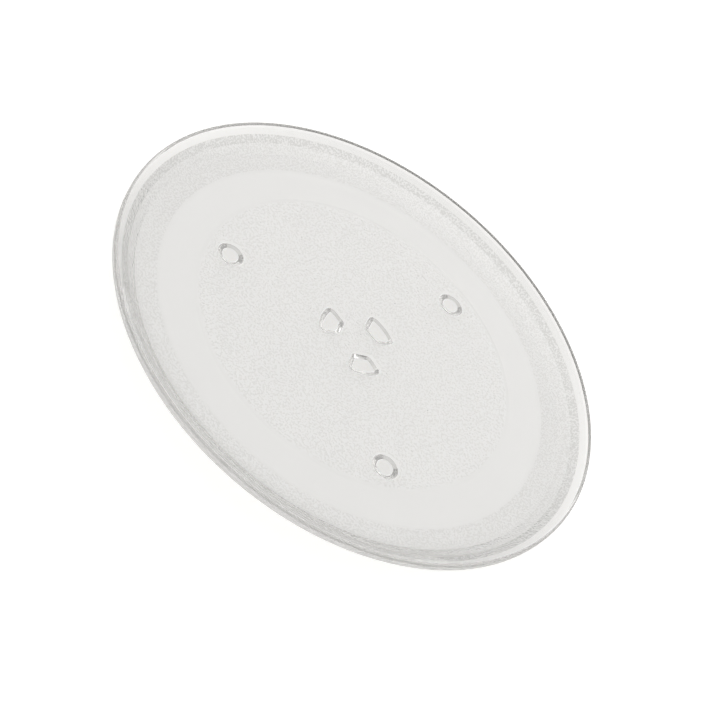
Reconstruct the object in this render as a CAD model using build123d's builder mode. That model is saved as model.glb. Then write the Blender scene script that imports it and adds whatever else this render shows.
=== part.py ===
from build123d import *
import os
from math import cos, radians, sin, tan

# A round glass turntable plate for a microwave oven, pressed in one piece.
# Millimetres and degrees. The plate stands on its feet at Z = 0, with Z as its axis of symmetry.

# Dish
plate_diameter = 288.0
base_thickness = 5.5
wall_angle = 30.0
wall_thickness = 5.0
rim_edge_rise = 6.3
floor_curve_radius = 32.0

# Lip: rounded on top and bevelled below, and thinner than the wall by a smooth band round its underside
lip_top_radius = 1.3
lip_bevel = 0.7
lip_band_width = 4.2
lip_band_depth = 0.8
lip_band_step_width = 1.8

# Smooth track for the rollers, a little proud of the stippled underside
track_inner_radius = 94.0
track_outer_radius = 117.2
track_height = 0.25
track_step_width = 0.4

# Feet and drive lugs under the base share their height, their number and their directions
lug_height = 4.0
lug_count = 3
first_lug_angle = 90.0

foot_pitch_radius = 81.0
foot_base_diameter = 14.8
foot_draft_angle = 32.0
foot_edge_chamfer = 0.9

drive_lug_inner_radius = 10.4
drive_lug_outer_radius = 23.2
drive_lug_half_angle = 27.0
drive_lug_corner_radius = 3.4
drive_lug_draft_angle = 28.0
drive_lug_edge_chamfer = 0.7

# Levels and points that follow from the sizes above
underside_level = lug_height
floor_level = underside_level + base_thickness
track_level = underside_level - track_height
rim_radius = plate_diameter / 2
rim_edge_level = floor_level + rim_edge_rise

slope = radians(wall_angle)
lip_centre_radius = rim_radius - lip_top_radius
wall_top = Vector(lip_centre_radius - lip_top_radius * sin(slope), rim_edge_level + lip_top_radius * cos(slope))
wall_foot_radius = wall_top.X - (wall_top.Y - floor_level) / tan(slope)
floor_radius = wall_foot_radius - floor_curve_radius * tan(slope / 2)


def below_wall(radius, thickness):
    """A point of the section under the wall's upper face, where the wall is that thick."""
    return Vector(radius, wall_top.Y - (wall_top.X - radius) * tan(slope) - thickness / cos(slope))


lip_thickness = wall_thickness - lip_band_depth
lip_corner = below_wall(rim_radius, lip_thickness)
lip_bevel_run = lip_bevel * cos(slope)
band_edge = below_wall(rim_radius - lip_band_width, lip_thickness)
wall_edge = below_wall(band_edge.X - lip_band_step_width, wall_thickness)
underside_foot_radius = wall_edge.X - (wall_edge.Y - underside_level) / tan(slope)

os.makedirs("parts", exist_ok=True)

# Outline of one drive lug where it meets the base: a keystone with a straight inner edge
with BuildSketch() as drive_lug_outline:
    with BuildLine():
        outer_edge = CenterArc((0, 0), drive_lug_outer_radius, -drive_lug_half_angle, 2 * drive_lug_half_angle)
        inner_half_width = drive_lug_inner_radius * tan(radians(drive_lug_half_angle))
        Polyline(
            outer_edge @ 1,
            (drive_lug_inner_radius, inner_half_width),
            (drive_lug_inner_radius, -inner_half_width),
            outer_edge @ 0,
        )
    make_face()
    fillet(drive_lug_outline.vertices(), drive_lug_corner_radius)

with BuildPart() as turntable_plate:
    # Section of the dish, from the floor out over the lip and back under the base
    with BuildSketch(Plane.XZ):
        with BuildLine():
            floor = Line((0, floor_level), (floor_radius, floor_level))
            floor_curve = JernArc(floor @ 1, floor % 1, floor_curve_radius, wall_angle)
            wall = Line(floor_curve @ 1, wall_top)
            lip_top = JernArc(wall @ 1, wall % 1, lip_top_radius, -(90 + wall_angle))
            Polyline(
                lip_top @ 1,
                (rim_radius, lip_corner.Y + lip_bevel),
                below_wall(rim_radius - lip_bevel_run, lip_thickness),
                band_edge,
                wall_edge,
                (underside_foot_radius, underside_level),
                (track_outer_radius, underside_level),
                (track_outer_radius - track_step_width, track_level),
                (track_inner_radius + track_step_width, track_level),
                (track_inner_radius, underside_level),
                (0, underside_level),
                (0, floor_level),
            )
        make_face()
    revolve(axis=Axis.Z)

    # Three drive lugs round the middle, which the wings of the oven's coupler push against
    with BuildSketch(Plane.XY.offset(underside_level)):
        with PolarLocations(0, lug_count, first_lug_angle):
            add(drive_lug_outline.sketch)
    extrude(amount=-lug_height, taper=drive_lug_draft_angle)
    chamfer(turntable_plate.edges().group_by(Axis.Z)[0], drive_lug_edge_chamfer)

    # Three round feet out near the track, whose lowest edges are the only closed ones at that level
    with BuildSketch(Plane.XY.offset(underside_level)):
        with PolarLocations(foot_pitch_radius, lug_count, first_lug_angle):
            Circle(foot_base_diameter / 2)
    extrude(amount=-lug_height, taper=foot_draft_angle)
    lowest_edges = turntable_plate.edges().group_by(Axis.Z)[0]
    chamfer(lowest_edges.filter_by(lambda edge: edge.is_closed), foot_edge_chamfer)

turntable_plate.part.label = "turntable_plate"
export_step(turntable_plate.part, "parts/turntable_plate.step")
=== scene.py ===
import bmesh
import bpy
import math
from mathutils import Matrix, Vector


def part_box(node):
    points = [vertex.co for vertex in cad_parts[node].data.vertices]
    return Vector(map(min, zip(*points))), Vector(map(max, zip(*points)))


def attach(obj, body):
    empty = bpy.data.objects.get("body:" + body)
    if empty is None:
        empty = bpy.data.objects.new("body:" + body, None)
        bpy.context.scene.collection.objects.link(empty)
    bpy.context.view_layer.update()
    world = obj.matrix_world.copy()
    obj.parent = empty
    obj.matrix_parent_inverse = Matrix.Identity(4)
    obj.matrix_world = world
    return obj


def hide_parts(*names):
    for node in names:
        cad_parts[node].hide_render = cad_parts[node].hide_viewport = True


# A pressed glass microwave turntable plate on a white table. Sizes are in millimetres until a mesh is made.
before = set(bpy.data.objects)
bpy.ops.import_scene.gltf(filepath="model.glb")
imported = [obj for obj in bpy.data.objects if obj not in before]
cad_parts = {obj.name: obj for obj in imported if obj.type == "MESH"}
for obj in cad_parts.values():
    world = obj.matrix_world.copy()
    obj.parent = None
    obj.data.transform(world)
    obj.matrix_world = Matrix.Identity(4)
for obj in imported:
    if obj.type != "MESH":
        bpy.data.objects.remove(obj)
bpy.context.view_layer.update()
MM = 0.001
NODE = "turntable_plate"
node_low, node_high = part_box(NODE)

# Dish: the rim and the overall height come from the frame
RIM_RADIUS = node_high.x / MM
LIP_TOP_LEVEL = node_high.z / MM
LUG_HEIGHT = 4.0
BASE_THICKNESS = 5.5
WALL_ANGLE = 30.0
WALL_THICKNESS = 5.0
FLOOR_CURVE_RADIUS = 32.0
UNDERSIDE_CURVE_RADIUS = 5.0
LIP_TOP_RADIUS = 1.3
LIP_CORNER_RADIUS = 1.7
LIP_BAND_WIDTH = 4.0
LIP_BAND_DEPTH = 0.8
LIP_BAND_STEP_WIDTH = 4.2
LIP_BAND_ROUNDING = 4.0
TRACK_INNER_RADIUS = 94.0
TRACK_OUTER_RADIUS = 117.2
TRACK_HEIGHT = 0.25
TRACK_STEP_WIDTH = 2.0
TRACK_STEP_ROUNDING = 4.0

# Feet and drive lugs
LUG_COUNT = 3
FIRST_LUG_ANGLE = 90.0
LUG_ROOT = 2.0
ROOT_BLEND_RADIUS = 1.3
ROOT_MEETING_ANGLE = 8.0
ROOT_SKIRT = 0.3
FOOT_PITCH_RADIUS = 81.0
FOOT_BASE_DIAMETER = 14.8
FOOT_DRAFT_ANGLE = 32.0
FOOT_EDGE_RADIUS = 1.4
DRIVE_LUG_INNER_RADIUS = 10.4
DRIVE_LUG_OUTER_RADIUS = 23.2
DRIVE_LUG_HALF_ANGLE = 27.0
DRIVE_LUG_CORNER_RADIUS = 3.4
DRIVE_LUG_DRAFT_ANGLE = 28.0
DRIVE_LUG_EDGE_RADIUS = 1.0

# Mesh fineness: steps in millimetres or degrees, and the share of a flat step that counts as no length
TURNS = 360
FLAT_STEP = 6.0
ARC_STEP = 6.0
SAME_PLACE = 0.0001
FOOT_SIDES = 64
CORNER_STEPS = 10
OUTER_ARC_STEPS = 14

# Finish that the mould leaves in each zone: its bloom, its stipple, and painted shade, a grey tint that darkens
# the glass in place of shade seen through it.
# The painted shade is matched to the photograph, where stippled and drafted faces look greyer.
MOULD_FINISH_AND_PAINTED_SHADE = {
    "smooth": (0.0, 0.0, 0.0),
    "lip": (0.7, 0.0, 0.7),
    "lip_step": (1.5, 0.6, 1.7),
    "wall": (1.5, 0.6, 0.85),
    "track": (1.0, 0.0, 0.6),
    "base": (1.0, 1.0, 0.62),
    "flank": (0.0, 0.0, 2.2),
    "lug_end": (0.0, 0.0, 1.15),
}
# Stipple: pebbles about a millimetre across. The roughness is that of a bloom of 1.
STIPPLE_GRAIN = 1.05
STIPPLE_DEPTH = 0.2
PEBBLE_EDGE = (0.56, 0.44)
MOULD_BLOOM = 0.28
GLASS_IOR = 1.52
GLASS_TINT_DENSITY = 3.0
SHARP_ANGLE = 40.0

UNDERSIDE_LEVEL = LUG_HEIGHT
FLOOR_LEVEL = UNDERSIDE_LEVEL + BASE_THICKNESS
TRACK_LEVEL = UNDERSIDE_LEVEL - TRACK_HEIGHT


def linear(hex_colour):
    """A linear colour with alpha from an sRGB hex value."""
    parts = [int(hex_colour[i:i + 2], 16) / 255 for i in (1, 3, 5)]
    return [c / 12.92 if c <= 0.04045 else ((c + 0.055) / 1.055) ** 2.4 for c in parts] + [1.0]


def add_node(tree, kind, settings=None, inputs=None):
    """A new node with its settings and its input values or links."""
    node = tree.nodes.new(kind)
    for name, value in (settings or {}).items():
        setattr(node, name, value)
    for name, value in (inputs or {}).items():
        if isinstance(value, bpy.types.NodeSocket):
            tree.links.new(value, node.inputs[name])
        else:
            node.inputs[name].default_value = value
    return node


def rounded(corners):
    """Points of an open outline. A corner is (radius, height, rounding, zone): its rounding is drawn as
    an arc, and its zone names the stretch that runs on from it."""
    spots = []
    for i, (r, z, rounding, zone) in enumerate(corners):
        here = Vector((r, z))
        if rounding == 0 or i in (0, len(corners) - 1):
            spots.append((here, zone))
            continue
        back = (Vector(corners[i - 1][:2]) - here).normalized()
        on = (Vector(corners[i + 1][:2]) - here).normalized()
        half = back.angle(on) / 2
        centre = here + (back + on).normalized() * (rounding / math.sin(half))
        start = here + back * (rounding / math.tan(half)) - centre
        sweep = start.angle_signed(here + on * (rounding / math.tan(half)) - centre)
        steps = max(2, round(math.degrees(abs(sweep)) / ARC_STEP))
        for k in range(steps + 1):
            turn = Matrix.Rotation(-sweep * k / steps, 2)
            spots.append((centre + turn @ start, zone if k == steps else corners[i - 1][3]))
    points = []
    for (a, zone), (b, _) in zip(spots, spots[1:]):
        pieces = math.ceil((b - a).length / FLAT_STEP - SAME_PLACE)
        points += [(a.lerp(b, k / pieces), zone) for k in range(pieces)]
    return points + [spots[-1]]


def finish_and_shade_layers(bm):
    """Layers of the faces that carry the mould's finish and the painted shade to the glass."""
    return [bm.faces.layers.float.new(name) for name in ("bloom", "stipple", "shade")]


# Sets a face's bloom, stipple and painted shade from its zone.
def set_finish_and_shade(face, layers, zone):
    for layer, value in zip(layers, MOULD_FINISH_AND_PAINTED_SHADE[zone]):
        face[layer] = value


def dish_section():
    """The plate's section, from the middle of its floor out over the lip and back to the middle below."""
    slope = math.radians(WALL_ANGLE)
    wall_top_r = RIM_RADIUS - LIP_TOP_RADIUS * (1 + math.sin(slope))
    wall_top_z = LIP_TOP_LEVEL - LIP_TOP_RADIUS * (1 - math.cos(slope))
    wall_foot = wall_top_r - (wall_top_z - FLOOR_LEVEL) / math.tan(slope)
    peak = wall_top_r + (LIP_TOP_LEVEL - wall_top_z) / math.tan(slope)

    def below_wall(radius, thickness):
        return wall_top_z - (wall_top_r - radius) * math.tan(slope) - thickness / math.cos(slope)

    lip_thickness = WALL_THICKNESS - LIP_BAND_DEPTH
    band_edge = RIM_RADIUS - LIP_BAND_WIDTH
    wall_edge = band_edge - LIP_BAND_STEP_WIDTH
    under_foot = wall_edge - (below_wall(wall_edge, WALL_THICKNESS) - UNDERSIDE_LEVEL) / math.tan(slope)
    band, step = LIP_BAND_ROUNDING, TRACK_STEP_ROUNDING
    return rounded([
        (0.0, FLOOR_LEVEL, 0, "smooth"),
        (wall_foot, FLOOR_LEVEL, FLOOR_CURVE_RADIUS, "smooth"),
        (peak, LIP_TOP_LEVEL, LIP_TOP_RADIUS, "smooth"),
        (RIM_RADIUS, LIP_TOP_LEVEL, LIP_TOP_RADIUS, "smooth"),
        (RIM_RADIUS, below_wall(RIM_RADIUS, lip_thickness), LIP_CORNER_RADIUS, "lip"),
        (band_edge, below_wall(band_edge, lip_thickness), band, "lip_step"),
        (wall_edge, below_wall(wall_edge, WALL_THICKNESS), band, "wall"),
        (under_foot, UNDERSIDE_LEVEL, UNDERSIDE_CURVE_RADIUS, "wall"),
        (TRACK_OUTER_RADIUS, UNDERSIDE_LEVEL, step, "track"),
        (TRACK_OUTER_RADIUS - TRACK_STEP_WIDTH, TRACK_LEVEL, step, "track"),
        (TRACK_INNER_RADIUS + TRACK_STEP_WIDTH, TRACK_LEVEL, step, "track"),
        (TRACK_INNER_RADIUS, UNDERSIDE_LEVEL, step, "base"),
        (0.0, UNDERSIDE_LEVEL, 0, "base"),
    ])


def new_object(name, bm):
    """An object at the origin with the mesh of bm."""
    bmesh.ops.recalc_face_normals(bm, faces=bm.faces)
    mesh = bpy.data.meshes.new(name)
    bm.to_mesh(mesh)
    bm.free()
    mesh.shade_smooth()
    thing = bpy.data.objects.new(name, mesh)
    bpy.context.scene.collection.objects.link(thing)
    return thing


def dish():
    """The plate without its feet and lugs: the section turned about the axis."""
    bm = bmesh.new()
    layers = finish_and_shade_layers(bm)
    section = dish_section()
    rings = []
    for place, _ in section:
        if place.x < 1e-6:
            rings.append([bm.verts.new((0, 0, place.y * MM))] * TURNS)
            continue
        ring = []
        reach = place.x * MM
        for k in range(TURNS):
            angle = 2 * math.pi * k / TURNS
            ring.append(bm.verts.new((reach * math.cos(angle), reach * math.sin(angle), place.y * MM)))
        rings.append(ring)
    for (ring, next_ring), (_, zone) in zip(zip(rings, rings[1:]), section):
        for k in range(TURNS):
            corners = [ring[k], ring[(k + 1) % TURNS], next_ring[(k + 1) % TURNS], next_ring[k]]
            face = bm.faces.new(list(dict.fromkeys(corners)))
            set_finish_and_shade(face, layers, zone)
    return new_object("glass_dish", bm)


def lug_flank(draft_angle, edge_radius):
    """Inset and depth below the base along a lug's side, from inside the base to the edge of its flat end.
    It flares out of the base in a blend that meets the base at a slight angle."""
    draft = math.radians(draft_angle)
    meeting = math.tan(math.radians(ROOT_MEETING_ANGLE))
    flare = ROOT_BLEND_RADIUS * math.tan((math.pi / 2 - draft) / 2)
    corner = flare * meeting / (1 / math.tan(draft) - meeting)
    skirt = -flare - ROOT_SKIRT / meeting
    edge = Vector((LUG_HEIGHT * math.tan(draft), LUG_HEIGHT))
    edge_run = edge_radius * math.tan((math.pi / 2 - draft) / 2)
    edge_start = edge - Vector((math.sin(draft), math.cos(draft))) * edge_run
    return rounded([
        (skirt, -LUG_ROOT, 0, "smooth"),
        (skirt, -ROOT_SKIRT, 0, "smooth"),
        (corner, corner / math.tan(draft), ROOT_BLEND_RADIUS, "flank"),
        (edge_start.x, edge_start.y, 0, "smooth"),
        (edge.x, edge.y, edge_radius, "lug_end"),
        (edge.x + edge_radius, edge.y, 0, "lug_end"),
    ])


def foot_outline(inset):
    radius = FOOT_BASE_DIAMETER / 2 - inset
    turns = [2 * math.pi * k / FOOT_SIDES for k in range(FOOT_SIDES)]
    return [(FOOT_PITCH_RADIUS + radius * math.cos(t), radius * math.sin(t)) for t in turns]


def drive_lug_outline(inset):
    """The keystone outline of a drive lug on +X, drawn in by inset on all sides."""
    half = math.radians(DRIVE_LUG_HALF_ANGLE)
    corner = DRIVE_LUG_CORNER_RADIUS
    inner_x = DRIVE_LUG_INNER_RADIUS + corner
    inner_y = inner_x * math.tan(half) - corner / math.cos(half)
    outer_reach = DRIVE_LUG_OUTER_RADIUS - corner
    outer_angle = half - math.asin(corner / outer_reach)
    outer_x, outer_y = outer_reach * math.cos(outer_angle), outer_reach * math.sin(outer_angle)
    side = half + math.pi / 2
    rounding = corner - inset

    def arc(x, y, radius, start, end, steps):
        turns = [start + (end - start) * k / steps for k in range(steps + 1)]
        return [(x + radius * math.cos(t), y + radius * math.sin(t)) for t in turns]

    points = arc(outer_x, -outer_y, rounding, -side, -outer_angle, CORNER_STEPS)
    rim = arc(0, 0, DRIVE_LUG_OUTER_RADIUS - inset, -outer_angle, outer_angle, OUTER_ARC_STEPS)
    points += rim[1:-1]
    points += arc(outer_x, outer_y, rounding, outer_angle, side, CORNER_STEPS)
    points += arc(inner_x, inner_y, rounding, side, math.pi, CORNER_STEPS)
    points += arc(inner_x, -inner_y, rounding, math.pi, 2 * math.pi - side, CORNER_STEPS)
    return points


def lug(name, outline, flank):
    """A closed lug that hangs from the base, its outline drawn in along its flank."""
    bm = bmesh.new()
    layers = finish_and_shade_layers(bm)
    rings = []
    for place, _ in flank:
        level = UNDERSIDE_LEVEL - place.y
        rings.append([bm.verts.new((x * MM, y * MM, level * MM)) for x, y in outline(place.x)])
    for (ring, next_ring), (_, zone) in zip(zip(rings, rings[1:]), flank):
        for k in range(len(ring)):
            face = bm.faces.new([ring[k - 1], ring[k], next_ring[k], next_ring[k - 1]])
            set_finish_and_shade(face, layers, zone)
    bm.faces.new(rings[0])
    set_finish_and_shade(bm.faces.new(rings[-1]), layers, "lug_end")
    return new_object(name, bm)


def around_axis_tree():
    """Geometry Nodes that repeat a lug about the plate's axis."""
    tree = bpy.data.node_groups.new("lugs_around_axis", "GeometryNodeTree")
    tree.interface.new_socket("Geometry", in_out="INPUT", socket_type="NodeSocketGeometry")
    tree.interface.new_socket("Count", in_out="INPUT", socket_type="NodeSocketInt")
    tree.interface.new_socket("First angle", in_out="INPUT", socket_type="NodeSocketFloat")
    tree.interface.new_socket("Material", in_out="INPUT", socket_type="NodeSocketMaterial")
    tree.interface.new_socket("Geometry", in_out="OUTPUT", socket_type="NodeSocketGeometry")
    given = add_node(tree, "NodeGroupInput").outputs
    points = add_node(tree, "GeometryNodePoints", inputs={"Count": given["Count"]}).outputs[0]
    index = add_node(tree, "GeometryNodeInputIndex").outputs[0]
    pitch = add_node(tree, "ShaderNodeMath", {"operation": "DIVIDE"},
                     {0: 2 * math.pi, 1: given["Count"]}).outputs[0]
    turn = add_node(tree, "ShaderNodeMath", {"operation": "MULTIPLY_ADD"},
                    {0: index, 1: pitch, 2: given["First angle"]}).outputs[0]
    rotation = add_node(tree, "ShaderNodeCombineXYZ", inputs={"Z": turn}).outputs[0]
    placed = add_node(tree, "GeometryNodeInstanceOnPoints", inputs={
        "Points": points, "Instance": given["Geometry"], "Rotation": rotation}).outputs[0]
    plain = add_node(tree, "GeometryNodeRealizeInstances", inputs={"Geometry": placed}).outputs[0]
    dressed = add_node(tree, "GeometryNodeSetMaterial",
                       inputs={"Geometry": plain, "Material": given["Material"]}).outputs[0]
    add_node(tree, "NodeGroupOutput", inputs={"Geometry": dressed})
    return tree


def settle(thing):
    """Turns an object's live modifiers into its plain mesh."""
    graph = bpy.context.evaluated_depsgraph_get()
    mesh = bpy.data.meshes.new_from_object(
        thing.evaluated_get(graph), preserve_all_data_layers=True, depsgraph=graph)
    thing.modifiers.clear()
    thing.data = mesh
    return thing


def repeat_around(thing, tree, material):
    values = {"Count": LUG_COUNT, "First angle": math.radians(FIRST_LUG_ANGLE), "Material": material}
    modifier = thing.modifiers.new("around_axis", "NODES")
    modifier.node_group = tree
    for item in tree.interface.items_tree:
        if item.in_out == "INPUT" and item.name in values:
            modifier[item.identifier] = values[item.name]
    return settle(thing)


def pressed_glass():
    """Clear soda lime glass, pressed: glossy, faintly warm, with the mould's stipple on the underside, and
    painted shade as a grey tint by zone and by pebble.
    """
    material = bpy.data.materials.new("pressed_soda_lime_glass")
    material.use_nodes = True
    tree = material.node_tree
    tree.nodes.clear()
    place = add_node(tree, "ShaderNodeTexCoord").outputs["Object"]
    grain = add_node(tree, "ShaderNodeTexNoise", inputs={
        "Vector": place, "Scale": 1 / (STIPPLE_GRAIN * MM), "Detail": 1.0, "Roughness": 0.5}).outputs["Fac"]
    bloom, stipple, shade = [
        add_node(tree, "ShaderNodeAttribute", {"attribute_name": name}).outputs["Fac"]
        for name in ("bloom", "stipple", "shade")]
    height = add_node(tree, "ShaderNodeMath", {"operation": "MULTIPLY"}, {0: grain, 1: stipple}).outputs[0]
    bump = add_node(tree, "ShaderNodeBump", inputs={
        "Strength": 1.0, "Distance": STIPPLE_DEPTH * MM, "Height": height}).outputs[0]
    matt = add_node(tree, "ShaderNodeMath", {"operation": "MULTIPLY"}, {0: bloom, 1: MOULD_BLOOM}).outputs[0]
    # Painted shade: each zone's shade tints the glass grey, and the stipple's pebbles make the tint lighter and
    # darker, in place of the light and shade that the pebbles gather and spread on the table.
    pebble = add_node(tree, "ShaderNodeMapRange", inputs={
        "Value": grain, "From Min": PEBBLE_EDGE[0], "From Max": PEBBLE_EDGE[1],
        "To Min": -0.5, "To Max": 0.5}).outputs[0]
    painted_pebble_shade = add_node(tree, "ShaderNodeMath", {"operation": "MULTIPLY_ADD"},
                   {0: pebble, 1: stipple, 2: 0.5}).outputs[0]
    painted_shade = add_node(tree, "ShaderNodeMath", {"operation": "MULTIPLY"}, {0: painted_pebble_shade, 1: shade}).outputs[0]
    painted_shade_tint = add_node(tree, "ShaderNodeMix", {"data_type": "RGBA"}, {
        0: painted_shade, 6: linear("#ffffff"), 7: linear("#c8c8c6")}).outputs[2]
    glass = add_node(tree, "ShaderNodeBsdfPrincipled", inputs={
        "Base Color": painted_shade_tint, "Roughness": matt, "IOR": GLASS_IOR, "Transmission Weight": 1.0,
        "Normal": bump}).outputs[0]
    tint = add_node(tree, "ShaderNodeVolumeAbsorption", inputs={
        "Color": linear("#e6e5e0"), "Density": GLASS_TINT_DENSITY}).outputs[0]
    add_node(tree, "ShaderNodeOutputMaterial", inputs={"Surface": glass, "Volume": tint})
    return material


def plate():
    """The whole plate as one closed mesh, in place of the CAD solid."""
    glass = pressed_glass()
    body = dish()
    body.data.materials.append(glass)
    tree = around_axis_tree()
    feet = lug("feet", foot_outline, lug_flank(FOOT_DRAFT_ANGLE, FOOT_EDGE_RADIUS))
    lugs = lug("drive_lugs", drive_lug_outline, lug_flank(DRIVE_LUG_DRAFT_ANGLE, DRIVE_LUG_EDGE_RADIUS))
    for part in (feet, lugs):
        part.data.materials.append(glass)
        repeat_around(part, tree, glass)
        joined = body.modifiers.new("join", "BOOLEAN")
        joined.operation = "UNION"
        joined.solver = "EXACT"
        joined.object = part
    settle(body)
    for part in (feet, lugs):
        bpy.data.objects.remove(part)
    body.data.set_sharp_from_angle(angle=math.radians(SHARP_ANGLE))
    weighted = body.modifiers.new("face_weighted_normals", "WEIGHTED_NORMAL")
    weighted.keep_sharp = True
    settle(body)
    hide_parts(NODE)
    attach(body, "root")
    return body


# Camera, as fitted to the photograph: distance in rim radii, angles in degrees, image positions in pixels
IMAGE_SIZE = 702
CAMERA_DISTANCE = 6.0
CAMERA_ELEVATION = 39.8
CAMERA_AZIMUTH = 20.0
CAMERA_ROLL = 40.27
FOCAL_PIXELS = 1627.0
PLATE_CENTRE_X = 360.85
PLATE_CENTRE_Y = 335.6
SENSOR_WIDTH = 36.0


def photo_camera():
    turn = Matrix.Rotation(math.radians(CAMERA_AZIMUTH), 3, "Z")
    rise = math.radians(CAMERA_ELEVATION)
    roll = math.radians(CAMERA_ROLL)
    out = turn @ Vector((0, -math.cos(rise), math.sin(rise)))
    across = turn @ Vector((1, 0, 0))
    up = turn @ Vector((0, math.sin(rise), math.cos(rise)))
    image_right = across * math.cos(roll) + up * math.sin(roll)
    image_up = up * math.cos(roll) - across * math.sin(roll)
    distance = CAMERA_DISTANCE * RIM_RADIUS * MM
    centre = Vector((0, 0, FLOOR_LEVEL * MM))
    pixel = distance / FOCAL_PIXELS
    aim = centre - image_right * ((PLATE_CENTRE_X - IMAGE_SIZE / 2) * pixel)
    aim = aim + image_up * ((PLATE_CENTRE_Y - IMAGE_SIZE / 2) * pixel)
    place = centre + out * distance
    back = (place - aim).normalized()
    right = image_up.cross(back).normalized()
    top = back.cross(right)
    data = bpy.data.cameras.new("photo_camera")
    data.sensor_width = SENSOR_WIDTH
    data.lens = FOCAL_PIXELS / IMAGE_SIZE * SENSOR_WIDTH
    camera = bpy.data.objects.new("photo_camera", data)
    camera.matrix_world = Matrix.Translation(place) @ Matrix((right, top, back)).transposed().to_4x4()
    bpy.context.scene.collection.objects.link(camera)
    bpy.context.scene.camera = camera


# Table: sizes, and how far it is lifted to white where the camera sees it and where the glass shows it
TABLE_RADIUS = 12000.0
TABLE_SIDES = 96
TABLE_GAP = 0.3
TABLE_GLOW_SEEN = 0.72
TABLE_GLOW_THROUGH_GLASS = 0.5
WARM_WHITE = "#fffefc"


def white_laminate():
    """Matt white laminate, lifted to plain white where it is looked at. It keeps the plate's shadow."""
    material = bpy.data.materials.new("white_laminate")
    material.use_nodes = True
    tree = material.node_tree
    tree.nodes.clear()
    matt = add_node(tree, "ShaderNodeBsdfDiffuse", inputs={"Color": linear("#d4d4d4")}).outputs[0]
    path = add_node(tree, "ShaderNodeLightPath").outputs
    mirrored = add_node(tree, "ShaderNodeMath", {"operation": "MAXIMUM"},
                        {0: path["Is Glossy Ray"], 1: path["Is Transmission Ray"]}).outputs[0]
    behind = add_node(tree, "ShaderNodeMath", {"operation": "MULTIPLY"},
                      {0: mirrored, 1: TABLE_GLOW_THROUGH_GLASS}).outputs[0]
    glow = add_node(tree, "ShaderNodeMath", {"operation": "MULTIPLY_ADD"},
                    {0: path["Is Camera Ray"], 1: TABLE_GLOW_SEEN, 2: behind}).outputs[0]
    lift = add_node(tree, "ShaderNodeEmission", inputs={
        "Color": linear(WARM_WHITE), "Strength": glow}).outputs[0]
    both = add_node(tree, "ShaderNodeAddShader", inputs={0: matt, 1: lift}).outputs[0]
    add_node(tree, "ShaderNodeOutputMaterial", inputs={"Surface": both})
    return material


def table():
    """A wide white table just under the plate."""
    bm = bmesh.new()
    bmesh.ops.create_circle(bm, cap_ends=True, segments=TABLE_SIDES, radius=TABLE_RADIUS * MM)
    bmesh.ops.translate(bm, verts=bm.verts, vec=(0, 0, -TABLE_GAP * MM))
    top = new_object("white_table", bm)
    top.data.materials.append(white_laminate())


# Light: levels in whites, angles in degrees, half sizes as sines of the angle that they span
ROOM_LIGHT = 0.3
SOFTBOX_LIGHT = 1.7
SOFTBOX_ELEVATION = 42.0
SOFTBOX_TURN = 3.5
SOFTBOX_HALF_WIDTH = 0.75
SOFTBOX_HALF_HEIGHT = 0.42
SOFTBOX_FADE = 0.98


def sky():
    """A dim even room with one broad soft window of light, low behind the plate."""
    world = bpy.data.worlds.new("studio")
    bpy.context.scene.world = world
    world.use_nodes = True
    tree = world.node_tree
    tree.nodes.clear()
    aim = Matrix.Rotation(math.radians(CAMERA_AZIMUTH - SOFTBOX_TURN), 3, "Z")
    aim = aim @ Matrix.Rotation(math.radians(SOFTBOX_ELEVATION), 3, "X")
    across = aim @ Vector((1 / SOFTBOX_HALF_WIDTH, 0, 0))
    ahead = aim @ Vector((0, 1, 0))
    upward = aim @ Vector((0, 0, 1 / SOFTBOX_HALF_HEIGHT))
    way = add_node(tree, "ShaderNodeTexCoord").outputs["Generated"]
    spread = [
        add_node(tree, "ShaderNodeVectorMath", {"operation": "DOT_PRODUCT"}, {0: way, 1: axis}).outputs["Value"]
        for axis in (across, ahead, upward)]
    offset = add_node(tree, "ShaderNodeCombineXYZ", inputs={"X": spread[0], "Y": spread[2]}).outputs[0]
    reach = add_node(tree, "ShaderNodeVectorMath", {"operation": "LENGTH"}, {0: offset}).outputs["Value"]
    fade = add_node(tree, "ShaderNodeMapRange", {"interpolation_type": "SMOOTHSTEP"}, {
        "Value": reach, "From Min": 1 + SOFTBOX_FADE, "From Max": 1 - SOFTBOX_FADE,
        "To Min": 0.0, "To Max": SOFTBOX_LIGHT}).outputs[0]
    front = add_node(tree, "ShaderNodeMath", {"operation": "GREATER_THAN"}, {0: spread[1], 1: 0.0}).outputs[0]
    level = add_node(tree, "ShaderNodeMath", {"operation": "MULTIPLY_ADD"},
                     {0: fade, 1: front, 2: ROOM_LIGHT}).outputs[0]
    light = add_node(tree, "ShaderNodeBackground", inputs={
        "Color": linear(WARM_WHITE), "Strength": level}).outputs[0]
    add_node(tree, "ShaderNodeOutputWorld", inputs={"Surface": light})


plate()
table()
sky()
photo_camera()
bpy.context.scene.view_settings.view_transform = "Standard"

# Light that enters the rim runs on between the faces of the glass, and needs many bounces to come out again
LIGHT_BOUNCES = 40
bpy.context.scene.cycles.max_bounces = LIGHT_BOUNCES
bpy.context.scene.cycles.glossy_bounces = LIGHT_BOUNCES
bpy.context.scene.cycles.transmission_bounces = LIGHT_BOUNCES
